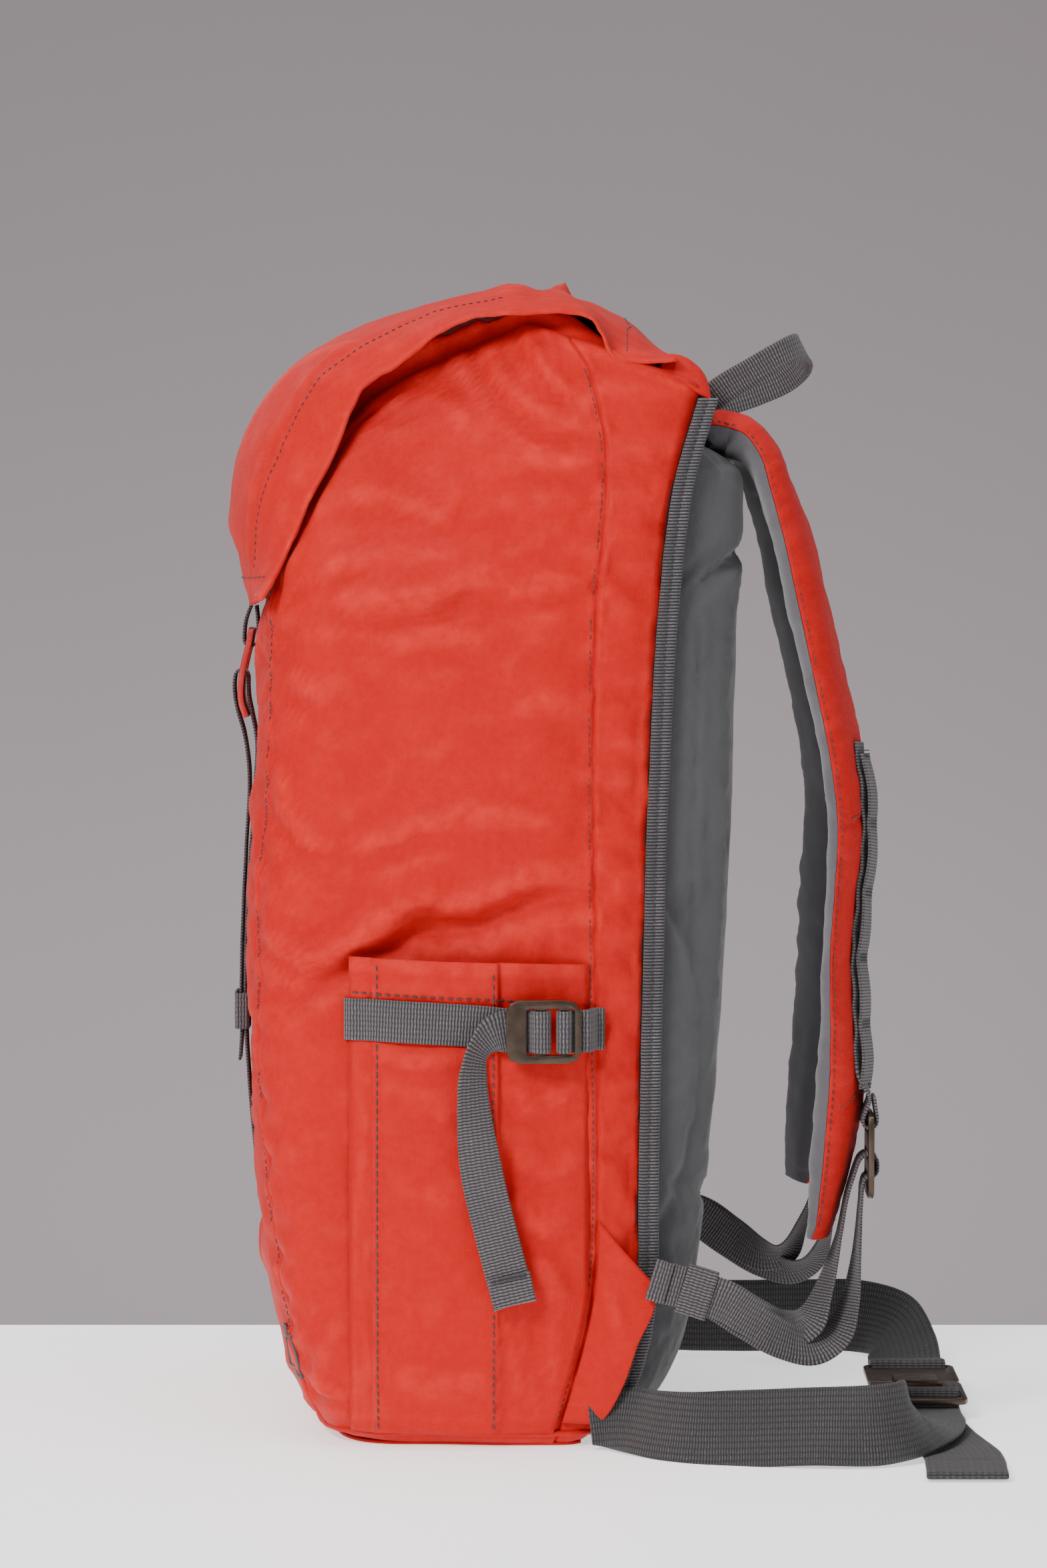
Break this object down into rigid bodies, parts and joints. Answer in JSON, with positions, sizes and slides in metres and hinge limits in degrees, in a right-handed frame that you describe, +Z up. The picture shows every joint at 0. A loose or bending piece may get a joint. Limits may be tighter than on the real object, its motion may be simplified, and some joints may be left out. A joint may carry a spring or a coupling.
{
  "type": "daypack",
  "caption": "Upright canvas daypack with a wide lid over a gathered collar, padded mesh back, shoulder straps, side pockets and a webbing waist belt.",
  "frame": {"origin": "middle of the flat underside of the base, where the pack stands", "axes": "+Z up; +X towards the wearer's back, so the front is on -X and the harness on +X; the wearer's right is on -Y"},
  "size_m": [0.3728, 0.3623, 0.558],
  "materials": {
    "canvas": "matte waxed canvas",
    "lining": "plain lining cloth",
    "ribbed_tape": "ribbed grosgrain",
    "spacer_mesh": "spacer mesh",
    "strap_lining": "soft knitted lining",
    "webbing": "woven webbing",
    "patch": "plain woven label",
    "foam": "closed-cell foam",
    "sheet": "stiff polyethylene sheet",
    "bronze": "bronze anodised",
    "red_metal": "red anodised",
    "lock_plastic": "moulded acetal",
    "spring_steel": "bright wire"
  },
  "bodies": {
    "pack": {"base_panel": "canvas", "front_panel": "canvas", "side_panel_right": "canvas", "side_panel_left": "canvas", "rear_gusset_right": "canvas", "rear_gusset_left": "canvas", "back_wall": "lining", "frame_sheet": "sheet", "back_foam": "foam", "back_mesh_cover": "spacer_mesh", "edge_binding_right": "ribbed_tape", "edge_binding_left": "ribbed_tape", "top_yoke": "canvas", "collar": "canvas", "collar_hem": "canvas", "drawcord": "webbing", "cord_lock_body": "lock_plastic", "cord_lock_spring": "spring_steel", "front_strap": "webbing", "brand_patch": "patch", "side_pocket_right": "canvas", "side_pocket_left": "canvas", "hip_wing_right": "canvas", "hip_wing_left": "canvas", "compression_strap_right": "webbing", "compression_strap_left": "webbing", "compression_anchor_right": "webbing", "compression_anchor_left": "webbing", "adjuster_right": "webbing", "adjuster_left": "webbing"},
    "lid": {"lid": "canvas", "lid_strap_loop": "webbing"},
    "front_hook": {"front_hook": "red_metal"},
    "front_keeper": {"front_strap_keeper": "webbing"},
    "cord_lock_button": {"cord_lock_button": "lock_plastic"},
    "right_side_buckle": {"compression_buckle_right": "bronze"},
    "left_side_buckle": {"compression_buckle_left": "bronze"},
    "right_strap": {"strap_cover_right": "canvas", "strap_lining_right": "strap_lining", "strap_foam_right": "foam", "strap_webbing_right": "webbing", "daisy_chain_right": "webbing"},
    "left_strap": {"strap_cover_left": "canvas", "strap_lining_left": "strap_lining", "strap_foam_left": "foam", "strap_webbing_left": "webbing", "daisy_chain_left": "webbing"},
    "right_ladder_lock": {"ladder_lock_right": "bronze"},
    "left_ladder_lock": {"ladder_lock_left": "bronze"},
    "right_keeper": {"adjuster_keeper_right": "webbing"},
    "left_keeper": {"adjuster_keeper_left": "webbing"},
    "haul_loop": {"haul_loop": "webbing"},
    "right_belt": {"waist_belt_right": "webbing", "waist_buckle_frame": "bronze"},
    "left_belt": {"waist_belt_left": "webbing", "waist_buckle_hook": "bronze"}
  },
  "joints": [
    {"name": "lid_hinge", "type": "hinge", "parent": "pack", "child": "lid", "pos_m": [0.1, 0, 0.524], "axis": [0, 1, 0], "range_deg": [0, 110], "deforming": ["lid_strap_loop"]},
    {"name": "front_hook_tilt", "type": "hinge", "parent": "pack", "child": "front_hook", "pos_m": [-0.1092, 0, 0.3625], "axis": [0, -1, 0], "range_deg": [0, 10], "deforming": ["front_strap"]},
    {"name": "front_keeper_slide", "type": "slide", "parent": "pack", "child": "front_keeper", "axis": [0, 0, 1], "range_m": [-0.01, 0.02]},
    {"name": "cord_lock_press", "type": "slide", "parent": "pack", "child": "cord_lock_button", "axis": [0, 0, -1], "range_m": [0, 0.003], "stiffness_N_per_m": 600, "springref_m": -0.002, "deforming": ["cord_lock_spring"]},
    {"name": "right_side_buckle_lift", "type": "hinge", "parent": "pack", "child": "right_side_buckle", "pos_m": [0.0507, -0.1445, 0.2035], "axis": [0, 0, 1], "range_deg": [0, 25], "deforming": ["compression_strap_right", "compression_anchor_right"]},
    {"name": "left_side_buckle_lift", "type": "hinge", "parent": "pack", "child": "left_side_buckle", "pos_m": [0.0507, 0.1445, 0.2035], "axis": [0, 0, -1], "range_deg": [0, 25], "deforming": ["compression_strap_left", "compression_anchor_left"]},
    {"name": "right_strap_swing", "type": "hinge", "parent": "pack", "child": "right_strap", "pos_m": [0.117, -0.064, 0.492], "axis": [0, -1, 0], "range_deg": [-3, 15], "deforming": ["adjuster_right"]},
    {"name": "left_strap_swing", "type": "hinge", "parent": "pack", "child": "left_strap", "pos_m": [0.117, 0.064, 0.492], "axis": [0, -1, 0], "range_deg": [-3, 15], "deforming": ["adjuster_left"]},
    {"name": "right_ladder_lock_tilt", "type": "hinge", "parent": "right_strap", "child": "right_ladder_lock", "pos_m": [0.1985, -0.1, 0.1576], "axis": [0, -1, 0], "range_deg": [-3, 10]},
    {"name": "left_ladder_lock_tilt", "type": "hinge", "parent": "left_strap", "child": "left_ladder_lock", "pos_m": [0.1985, 0.1, 0.1576], "axis": [0, -1, 0], "range_deg": [-3, 10]},
    {"name": "right_keeper_slide", "type": "slide", "parent": "pack", "child": "right_keeper", "axis": [0.9523, 0, -0.3051], "range_m": [-0.004, 0.008]},
    {"name": "left_keeper_slide", "type": "slide", "parent": "pack", "child": "left_keeper", "axis": [0.9523, 0, -0.3051], "range_m": [-0.004, 0.008]},
    {"name": "haul_loop_swing", "type": "hinge", "parent": "pack", "child": "haul_loop", "pos_m": [0.1215, 0, 0.501], "axis": [0, 1, 0], "range_deg": [-6, 35]},
    {"name": "right_belt_swing", "type": "hinge", "parent": "pack", "child": "right_belt", "pos_m": [0.0685, -0.1365, 0.024], "axis": [0, 0, -1], "range_deg": [0, 30]},
    {"name": "left_belt_swing", "type": "hinge", "parent": "pack", "child": "left_belt", "pos_m": [0.0685, 0.1365, 0.024], "axis": [0, 0, 1], "range_deg": [0, 30]}
  ]
}
